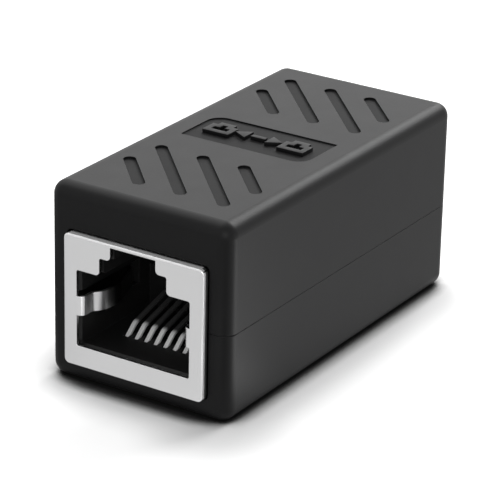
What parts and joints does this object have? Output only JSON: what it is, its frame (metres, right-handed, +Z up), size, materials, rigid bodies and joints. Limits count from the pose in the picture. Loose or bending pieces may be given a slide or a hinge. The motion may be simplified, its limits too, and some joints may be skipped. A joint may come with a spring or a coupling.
{
  "type": "rj45 inline coupler",
  "caption": "Boxed inline coupler with a shielded modular socket in each end wall, a two-part plastic shell and a grooved roof.",
  "frame": {"origin": "middle of the underside, on the surface that the coupler stands on", "axes": "+Y from the front socket to the rear one, +Z up, +X to the right as seen from the front socket"},
  "size_m": [0.0188, 0.0394, 0.0184],
  "materials": {
    "shell_plastic": "fine satin moulding",
    "plated_sheet": "satin nickel plating",
    "insulator": "smooth moulding",
    "contact_plating": "bright plating",
    "board": "solder resist"
  },
  "bodies": {
    "root": {"bottom_shell": "shell_plastic", "top_shell": "shell_plastic", "circuit_board": "board", "front_shield": "plated_sheet", "rear_shield": "plated_sheet", "front_housing": "insulator", "rear_housing": "insulator", "front_contact_carrier": "insulator", "rear_contact_carrier": "insulator", "front_contact_1": "contact_plating", "front_contact_2": "contact_plating", "front_contact_3": "contact_plating", "front_contact_4": "contact_plating", "front_contact_5": "contact_plating", "front_contact_6": "contact_plating", "front_contact_7": "contact_plating", "front_contact_8": "contact_plating", "rear_contact_1": "contact_plating", "rear_contact_2": "contact_plating", "rear_contact_3": "contact_plating", "rear_contact_4": "contact_plating", "rear_contact_5": "contact_plating", "rear_contact_6": "contact_plating", "rear_contact_7": "contact_plating", "rear_contact_8": "contact_plating"}
  },
  "joints": []
}
